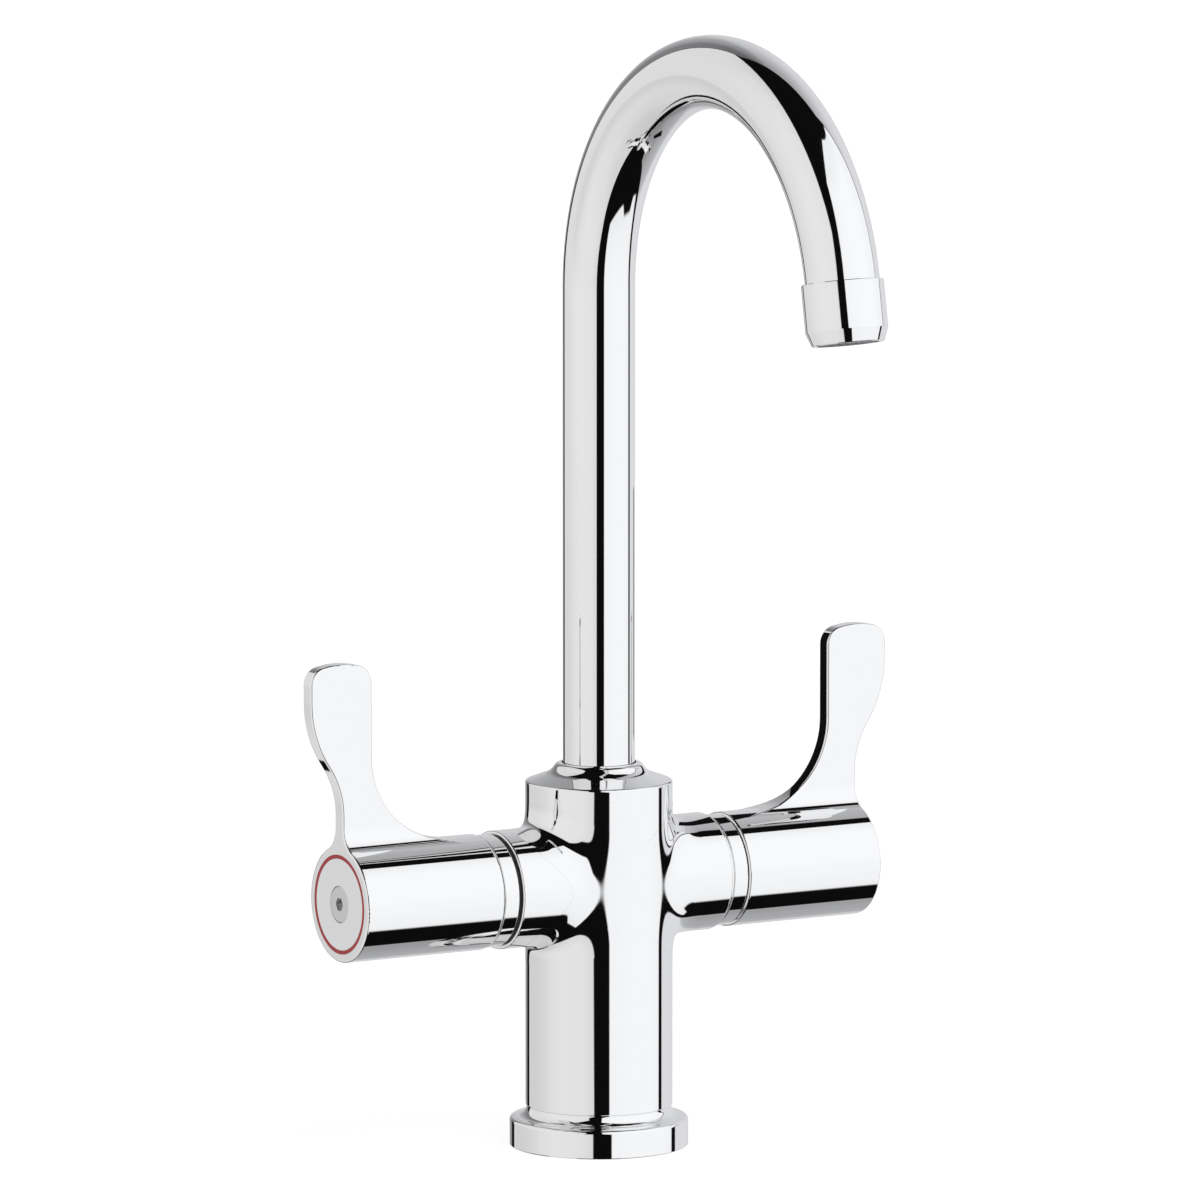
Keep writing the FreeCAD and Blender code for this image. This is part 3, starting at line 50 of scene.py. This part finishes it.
def add_camera():
    azimuth, elevation = math.radians(CAMERA_AZIMUTH), math.radians(CAMERA_ELEVATION)
    right = Vector((math.cos(azimuth), math.sin(azimuth), 0))
    away = math.cos(elevation)
    back = Vector((math.sin(azimuth) * away, -math.cos(azimuth) * away, math.sin(elevation)))
    aim = right * AIM_RIGHT + Vector((0, 0, AIM_HEIGHT))
    turn = Matrix((right, back.cross(right), back)).transposed().to_4x4()
    camera = bpy.data.objects.new("camera", bpy.data.cameras.new("camera"))
    bpy.context.scene.collection.objects.link(camera)
    camera.matrix_world = Matrix.Translation(aim + back * CAMERA_DISTANCE) @ turn
    camera.data.sensor_width = SENSOR_WIDTH
    camera.data.lens = CAMERA_LENS
    camera.data.clip_end = FARTHEST_SEEN
    bpy.context.scene.camera = camera


class Tree:
    """A node tree with short ways to add and join nodes."""

    def __init__(self, owner):
        owner.use_nodes = True
        self.tree = owner.node_tree
        self.tree.nodes.clear()

    def add(self, kind, **settings):
        node = self.tree.nodes.new(kind)
        for name, value in settings.items():
            setattr(node, name, value)
        return node

    def give(self, socket, value):
        """Joins another node's output to a socket, or writes a plain value into it."""
        if isinstance(value, bpy.types.NodeSocket):
            self.tree.links.new(value, socket)
        else:
            socket.default_value = value

    def fill(self, node, values):
        """Gives a node its inputs in order, and returns its first output."""
        for socket, value in zip(node.inputs, values):
            self.give(socket, value)
        return node.outputs[0]

    def maths(self, operation, *values):
        return self.fill(self.add("ShaderNodeMath", operation=operation), values)

    def vector(self, operation, *values):
        return self.fill(self.add("ShaderNodeVectorMath", operation=operation), values)

    def triple(self, value):
        return self.fill(self.add("ShaderNodeCombineXYZ"), (value, value, value))

    def product(self, factors):
        total = factors[0]
        for factor in factors[1:]:
            total = self.maths("MULTIPLY", total, factor)
        return total

    def ramp(self, value, low, high, to_low=0.0, to_high=1.0):
        """Rises smoothly from to_low to to_high while value goes from low to high."""
        node = self.add("ShaderNodeMapRange", interpolation_type="SMOOTHSTEP")
        return self.fill(node, (value, low, high, to_low, to_high))

    def steps(self, value, stops):
        """Goes smoothly from stop to stop, each a place and the result there."""
        total = stops[0][1]
        for (low, before), (high, after) in zip(stops, stops[1:]):
            total = self.maths("ADD", self.ramp(value, low, high, 0.0, after - before), total)
        return total

    def noise(self, coordinates, scale, detail):
        node = self.add("ShaderNodeTexNoise")
        self.give(node.inputs["Vector"], coordinates)
        node.inputs["Scale"].default_value = scale
        node.inputs["Detail"].default_value = detail
        return node.outputs["Fac"]

    def camera_ray(self):
        return self.add("ShaderNodeLightPath").outputs["Is Camera Ray"]

    def diffuse(self, grey):
        node = self.add("ShaderNodeBsdfDiffuse")
        node.inputs["Color"].default_value = (grey, grey, grey, 1)
        return node

    def output(self, kind, shader):
        """Ends the tree of a Material or World with this shader."""
        self.give(self.add("ShaderNodeOutput" + kind).inputs["Surface"], shader.outputs[0])


# Studio, as the chrome shows it. Azimuths are degrees from the camera towards its right, seen from
# the faucet. Heights are shares of the level distance straight ahead of a panel's centre.
HALF_TURN = 180.0
EDGE_SOFTNESS = 0.9
HEIGHT_SOFTNESS = 0.06
HORIZON_BLEND = 5.0
LEAST_AHEAD = 0.001
DARKEST = (0.004, 0.004, 0.004)
# how much of a panel's table shade counts, by elevation
TABLE_DEPTH = [(-30, 0.15), (-11, 1.0), (-10, 1.0), (-5, 0.0)]


class Panel:
    """A softbox or backdrop: a rectangle seen in perspective, whose light falls off across it."""

    def __init__(self, centre, left, right, bottom, top, tint, across, upright, corner=None, table=None):
        self.centre = centre
        # left and right edges: azimuth below and above the horizon
        self.left = left
        self.right = right
        # height of the edges; the lower one may change with azimuth
        self.bottom = bottom
        self.top = top
        self.tint = tint
        # light by azimuth, and its factor by elevation
        self.across = across
        self.upright = upright
        # elevation above which the right edge leans in, and by how much for each degree
        self.corner = corner
        # share that the table takes from it below the horizon, by azimuth
        self.table = table


PANELS = [
    Panel(
        centre=-90.0,
        left=(-142.0, -142.0),
        right=(-7.5, -16.0),
        bottom=-5.0,
        top=1.9,
        tint=(1.0, 1.0, 0.995),
        across=[
            (-142, 0.80), (-118, 0.80), (-96, 0.84), (-78, 0.875),
            (-62, 0.885), (-26, 0.87), (-8, 0.80),
        ],
        upright=[(-62, 0.84), (-38, 0.95), (-20, 1.0), (20, 1.0), (42, 0.97), (62, 0.88)],
        table=[(-130, 0.13), (-100, 0.11), (-78, 0.05), (-60, 0.02)],
    ),
    Panel(
        centre=63.0,
        left=(16.5, 4.5),
        right=(108.0, 122.0),
        bottom=[(56, -1.27), (71, -0.93), (90, -0.93), (100, -1.27)],
        top=2.36,
        tint=(0.993, 1.0, 1.011),
        across=[(4, 0.96), (24, 0.99), (50, 1.01), (85, 1.01), (110, 0.97)],
        upright=[(-46, 0.94), (-30, 1.0), (-8, 1.03), (10, 1.06), (45, 1.06), (60, 0.97)],
        corner=(50.0, 2.6),
    ),
    Panel(
        centre=167.0,
        left=(116.5, 124.0),
        right=(207.0, 217.0),
        bottom=-3.5,
        top=2.1,
        tint=(0.985, 0.992, 1.02),
        across=[(112, 0.83), (140, 0.82), (160, 0.77), (180, 0.70), (194, 0.42), (208, 0.24)],
        upright=[
            (-62, 0.42), (-52, 0.54), (-40, 0.62), (-30, 0.97),
            (20, 0.96), (36, 0.86), (46, 0.70), (60, 0.54),
        ],
    ),
]


def panel_light(tree, panel, azimuth, elevation, height_of):
    """How bright one panel is in a direction, and 0 outside its edges."""

    def from_centre(stops):
        return [(place - panel.centre, value) for place, value in stops]

    def side_edge(below, over):
        return tree.maths("ADD", tree.maths("MULTIPLY", above, over - below), below - panel.centre)

    offset = tree.maths("WRAP", tree.maths("SUBTRACT", azimuth, panel.centre), HALF_TURN, -HALF_TURN)
    height = height_of(offset)
    above = tree.ramp(elevation, -HORIZON_BLEND, HORIZON_BLEND)
    left, right = side_edge(*panel.left), side_edge(*panel.right)
    if panel.corner:
        level, lean = panel.corner
        excess = tree.maths("MAXIMUM", tree.maths("SUBTRACT", elevation, level), 0.0)
        right = tree.maths("SUBTRACT", right, tree.maths("MULTIPLY", excess, lean))
    bottom = panel.bottom
    if isinstance(bottom, list):
        bottom = tree.steps(offset, from_centre(bottom))
    factors = [
        tree.ramp(tree.maths("SUBTRACT", height, bottom), -HEIGHT_SOFTNESS, HEIGHT_SOFTNESS),
        tree.ramp(height, panel.top - HEIGHT_SOFTNESS, panel.top + HEIGHT_SOFTNESS, 1.0, 0.0),
        tree.ramp(tree.maths("SUBTRACT", offset, left), -EDGE_SOFTNESS, EDGE_SOFTNESS),
        tree.ramp(tree.maths("SUBTRACT", right, offset), -EDGE_SOFTNESS, EDGE_SOFTNESS),
        tree.steps(offset, from_centre(panel.across)),
        tree.steps(elevation, panel.upright),
    ]
    if panel.table:
        taken = tree.steps(offset, from_centre(panel.table))
        shade = tree.maths("MULTIPLY", tree.steps(elevation, TABLE_DEPTH), taken)
        factors.append(tree.maths("SUBTRACT", 1.0, shade))
    return tree.product(factors)


def light_studio():
    """A white surround for the camera; every other ray meets two softboxes and a backdrop."""
    world = bpy.data.worlds.new("studio")
    bpy.context.scene.world = world
    tree = Tree(world)
    turned = tree.add("ShaderNodeVectorRotate", rotation_type="Z_AXIS")
    tree.give(turned.inputs["Vector"], tree.add("ShaderNodeTexCoord").outputs["Generated"])
    turned.inputs["Angle"].default_value = -math.radians(CAMERA_AZIMUTH)
    parts = tree.add("ShaderNodeSeparateXYZ")
    tree.give(parts.inputs[0], turned.outputs[0])
    x, y, z = parts.outputs
    azimuth = tree.maths("DEGREES", tree.maths("ARCTAN2", x, tree.maths("MULTIPLY", y, -1.0)))
    elevation = tree.maths("DEGREES", tree.maths("ARCSINE", z))
    level = tree.maths("SQRT", tree.maths("SUBTRACT", 1.0, tree.maths("MULTIPLY", z, z)))

    def height_of(offset):
        ahead = tree.maths("MULTIPLY", level, tree.maths("COSINE", tree.maths("RADIANS", offset)))
        return tree.maths("DIVIDE", z, tree.maths("MAXIMUM", ahead, LEAST_AHEAD))

    light = (0.0, 0.0, 0.0)
    for panel in PANELS:
        grey = tree.triple(panel_light(tree, panel, azimuth, elevation, height_of))
        light = tree.vector("ADD", light, tree.vector("MULTIPLY", grey, panel.tint))
    studio = tree.add("ShaderNodeBackground")
    tree.give(studio.inputs["Color"], tree.vector("MAXIMUM", light, DARKEST))
    surround = tree.add("ShaderNodeBackground")
    surround.inputs["Color"].default_value = (1, 1, 1, 1)
    mix = tree.add("ShaderNodeMixShader")
    tree.fill(mix, (tree.camera_ray(), studio.outputs[0], surround.outputs[0]))
    tree.output("World", mix)


# Floor and dark card, in metres.
FLOOR_REACH = 12.0
FLOOR_GREY = 0.8
FLOOR_GLOW = 0.62
CARD_GREY = 0.01
CARD_LEFT, CARD_RIGHT = 0.062, 0.084
CARD_LOW, CARD_HIGH = 0.127, 0.212
CARD_BACK = 0.022


def add_stage_face(name, corners):
    """A flat face that isn't part of the faucet, with the empty node tree of its material."""
    mesh = bpy.data.meshes.new(name)
    mesh.from_pydata(corners, [], [(0, 1, 2, 3)])
    face = bpy.data.objects.new(name, mesh)
    bpy.context.scene.collection.objects.link(face)
    material = bpy.data.materials.new(name)
    mesh.materials.append(material)
    return face, Tree(material)


def add_floor():
    """Pale floor that keeps the contact shadow; the chrome doesn't mirror it."""
    signs = ((-1, -1), (1, -1), (1, 1), (-1, 1))
    floor, tree = add_stage_face("floor", [(x * FLOOR_REACH, y * FLOOR_REACH, 0) for x, y in signs])
    floor.visible_glossy = False
    glow = tree.add("ShaderNodeEmission")
    tree.give(glow.inputs["Strength"], tree.maths("MULTIPLY", tree.camera_ray(), FLOOR_GLOW))
    both = tree.add("ShaderNodeAddShader")
    tree.fill(both, (tree.diffuse(FLOOR_GREY).outputs[0], glow.outputs[0]))
    tree.output("Material", both)


def add_dark_card():
    """Card that darkens the cold blade's inner edge; only reflections meet it."""
    ends = ((CARD_LEFT, CARD_LOW), (CARD_RIGHT, CARD_LOW), (CARD_RIGHT, CARD_HIGH), (CARD_LEFT, CARD_HIGH))
    card, tree = add_stage_face("dark_card", [(x, CARD_BACK, z) for x, z in ends])
    card.visible_camera = False
    card.visible_diffuse = False
    card.visible_shadow = False
    tree.output("Material", tree.diffuse(CARD_GREY))


# Finish of each material slot: colour, metallic, roughness, how much that varies, scale of its
# clouds, and depth of the fine bumps in metres.
FINISHES = {
    "polished_chrome": ((0.885, 0.885, 0.888), 1.0, 0.035, 0.012, 40.0, 0.0),
    "brass": ((0.72, 0.50, 0.22), 1.0, 0.28, 0.06, 180.0, 2e-5),
    "black_rubber": ((0.02, 0.02, 0.021), 0.0, 0.62, 0.08, 400.0, 2e-5),
    "white_ceramic": ((0.85, 0.84, 0.81), 0.0, 0.16, 0.04, 300.0, 4e-6),
    "satin_metal": ((0.90, 0.90, 0.91), 1.0, 0.36, 0.03, 900.0, 3e-6),
    "steel": ((0.70, 0.70, 0.70), 1.0, 0.24, 0.05, 500.0, 5e-6),
    "red_plastic": ((0.50, 0.004, 0.008), 0.0, 0.3, 0.05, 300.0, 3e-6),
    "blue_plastic": ((0.02, 0.10, 0.50), 0.0, 0.3, 0.05, 300.0, 3e-6),
    "white_plastic": ((0.80, 0.80, 0.78), 0.0, 0.42, 0.06, 300.0, 5e-6),
    "grey_plastic": ((0.30, 0.31, 0.32), 0.0, 0.40, 0.06, 300.0, 5e-6),
}
CLOUD_DETAIL = 3.0
CLOUD_LOW, CLOUD_HIGH = 0.3, 0.7
BUMP_DETAIL = 2.0
BUMPS_PER_CLOUD = 8


def finish_material(name, colour, metallic, roughness, spread, scale, bump):
    """Principled surface whose roughness and height vary by noise in the object's own space."""
    material = bpy.data.materials.new(name)
    tree = Tree(material)
    shader = tree.add("ShaderNodeBsdfPrincipled")
    shader.inputs["Base Color"].default_value = (*colour, 1)
    shader.inputs["Metallic"].default_value = metallic
    place = tree.add("ShaderNodeTexCoord").outputs["Object"]
    cloud = tree.noise(place, scale, CLOUD_DETAIL)
    varied = tree.ramp(cloud, CLOUD_LOW, CLOUD_HIGH, roughness - spread, roughness + spread)
    tree.give(shader.inputs["Roughness"], varied)
    height = tree.add("ShaderNodeBump")
    height.inputs["Strength"].default_value = 1.0
    height.inputs["Distance"].default_value = bump
    tree.give(height.inputs["Height"], tree.noise(place, scale * BUMPS_PER_CLOUD, BUMP_DETAIL))
    tree.give(shader.inputs["Normal"], height.outputs[0])
    tree.output("Material", shader)
    return material


MM_PER_METRE = 1000


def add_fixed_piece(name, slot, points, faces, normals=None):
    """Smooth piece of the valve body; its points are in millimetres."""
    mesh = bpy.data.meshes.new(name)
    mesh.from_pydata([[value / MM_PER_METRE for value in point] for point in points], [], faces)
    mesh.shade_smooth()
    if normals:
        mesh.normals_split_custom_set_from_vertices(normals)
    mesh.materials.append(materials[slot])
    piece = bpy.data.objects.new(name, mesh)
    bpy.context.scene.collection.objects.link(piece)
    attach(piece, "valve")


# Column and arms as the CAD has them, and the cast blend between them, in millimetres.
COLUMN_RADIUS = 24.5
ARM_RADIUS = 19.7
ARM_HEIGHT = 88.8
# reach of the blend beside the arm, at 45 degrees, and above and below it
BLEND_REACH = (4.95, 10.2, 7.2)
BLEND_SKIN = 0.02
BLEND_ROWS = 96
BLEND_STEPS = 28
SKIN_TRIES = 6
SLOPE_STEP = 1e-3
AXES = (Vector((1, 0, 0)), Vector((0, 1, 0)), Vector((0, 0, 1)))


def blend_reach(across, up):
    """How far the blend spreads, at one place round the arm."""
    around = math.atan2(up, abs(across))
    beside, between, above = BLEND_REACH
    swell = between / 2 - (beside + above) / 4
    middle = (beside + above) / 2 + swell
    return middle + (beside - above) / 2 * math.cos(2 * around) - swell * math.cos(4 * around)


def cast_level(point):
    """Zero on the skin of column and arms melted together, and positive outside it."""
    up = point.z - ARM_HEIGHT
    column = math.hypot(point.x, point.y) - COLUMN_RADIUS
    arm = math.hypot(point.y, up) - ARM_RADIUS
    reach = blend_reach(point.y, up)
    share = max(reach - abs(column - arm), 0.0) / reach
    return min(column, arm) - reach * share**3 / 6 - BLEND_SKIN


def cast_slope(point):
    """Direction in which cast_level grows, which is the skin's normal."""
    rises = [cast_level(point + axis * SLOPE_STEP) - cast_level(point - axis * SLOPE_STEP) for axis in AXES]
    return Vector([rise / (2 * SLOPE_STEP) for rise in rises])


def on_skin(point):
    for _ in range(SKIN_TRIES):
        slope = cast_slope(point)
        point = point - slope * (cast_level(point) / slope.length_squared)
    return point


def blend_row(around):
    """Points of the blend from the arm to the column, at one angle round the arm."""
    level, up = math.cos(around), math.sin(around)
    reach = blend_reach(level, up)
    wide = COLUMN_RADIUS + reach
    on_arm = Vector((math.sqrt(wide**2 - (ARM_RADIUS * level) ** 2), -ARM_RADIUS * level, ARM_RADIUS * up))
    seam = on_arm.copy()
    seam.x = math.sqrt(COLUMN_RADIUS**2 - (ARM_RADIUS * level) ** 2)
    far = ARM_RADIUS + reach
    if far * level > COLUMN_RADIUS:
        far = COLUMN_RADIUS / level
    on_column = Vector((0, -far * level, far * up))
    on_column.x = math.sqrt(max(COLUMN_RADIUS**2 - on_column.y**2, 0.0))
    row = []
    for index in range(BLEND_STEPS + 1):
        share = index / BLEND_STEPS
        guess = on_arm * (1 - share) ** 2 + seam * (2 * share * (1 - share)) + on_column * share**2
        row.append(on_skin(guess + Vector((0, 0, ARM_HEIGHT))))
    return row


def add_cast_blend(name, side, front):
    """Softens one corner where an arm leaves the column; side and front are 1 or -1."""
    flip = Matrix.Diagonal((side, front, 1))
    points, normals = [], []
    for index in range(BLEND_ROWS + 1):
        for point in blend_row(math.radians(-90 + 180 * index / BLEND_ROWS)):
            points.append(flip @ point)
            normals.append((flip @ cast_slope(point)).normalized())
    in_row = BLEND_STEPS + 1
    faces = []
    for row in range(BLEND_ROWS):
        for corner in range(row * in_row, row * in_row + BLEND_STEPS):
            face = (corner, corner + 1, corner + 1 + in_row, corner + in_row)
            faces.append(face if side * front < 0 else face[::-1])
    add_fixed_piece(name, "polished_chrome", points, faces, normals)


RING_TURNS = 144
CORNER_STEPS = 4


def ring_outline(middle, half, inner, outer, corner):
    """Places along the arm and radii round a ring's section, a rectangle with rounded corners."""
    corners = (
        (half - corner, outer - corner, 0),
        (corner - half, outer - corner, 90),
        (corner - half, inner + corner, 180),
        (half - corner, inner + corner, 270),
    )
    outline = []
    for place, radius, first in corners:
        for step in range(CORNER_STEPS + 1):
            angle = math.radians(first + 90 * step / CORNER_STEPS)
            outline.append((middle + place + corner * math.cos(angle), radius + corner * math.sin(angle)))
    return outline


def add_ring(name, slot, band, start, end, inner, below_rim, corner):
    """Thin ring round the arm by a band; start and end count outward from the band's inner face."""
    low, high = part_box(band)
    side = 1 if low.x > 0 else -1
    face = min(abs(low.x), abs(high.x)) * MM_PER_METRE
    outer = (high.z - low.z) / 2 * MM_PER_METRE - below_rim
    outline = ring_outline(side * (face + (start + end) / 2), (end - start) / 2, inner, outer, corner)
    points, faces = [], []
    size = len(outline)
    for turn in range(RING_TURNS):
        angle = 2 * math.pi * turn / RING_TURNS
        here, there = turn * size, (turn + 1) % RING_TURNS * size
        for index, (place, radius) in enumerate(outline):
            points.append((place, -radius * math.cos(angle), ARM_HEIGHT + radius * math.sin(angle)))
            after = (index + 1) % size
            faces.append((here + index, there + index, there + after, here + after))
    add_fixed_piece(name, slot, points, faces)


bpy.context.scene.view_settings.view_transform = "Standard"
add_camera()
light_studio()
add_floor()
add_dark_card()
materials = {name: finish_material(name, *finish) for name, finish in FINISHES.items()}
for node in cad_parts.values():
    for slot in node.material_slots:
        slot.material = materials[slot.material.name]

for side, side_name in ((-1, "hot"), (1, "cold")):
    for front, front_name in ((1, "front"), (-1, "back")):
        add_cast_blend(side_name + "_arm_blend_" + front_name, side, front)
# painted shade: a black ring sunk in the groove between the hot arm and its band, so that the groove looks
# dark
add_ring(
    "hot_band_groove_shade", "black_rubber", "hot_band",
    start=-0.05, end=1.15, inner=15.5, below_rim=0.40, corner=0.25,
)
add_ring(
    "cold_band_shim", "polished_chrome", "cold_band",
    start=0.12, end=1.05, inner=15.5, below_rim=0.10, corner=0.25,
)
add_ring(
    "cold_band_wiper", "black_rubber", "cold_band",
    start=6.52, end=6.78, inner=16.5, below_rim=0.15, corner=0.10,
)
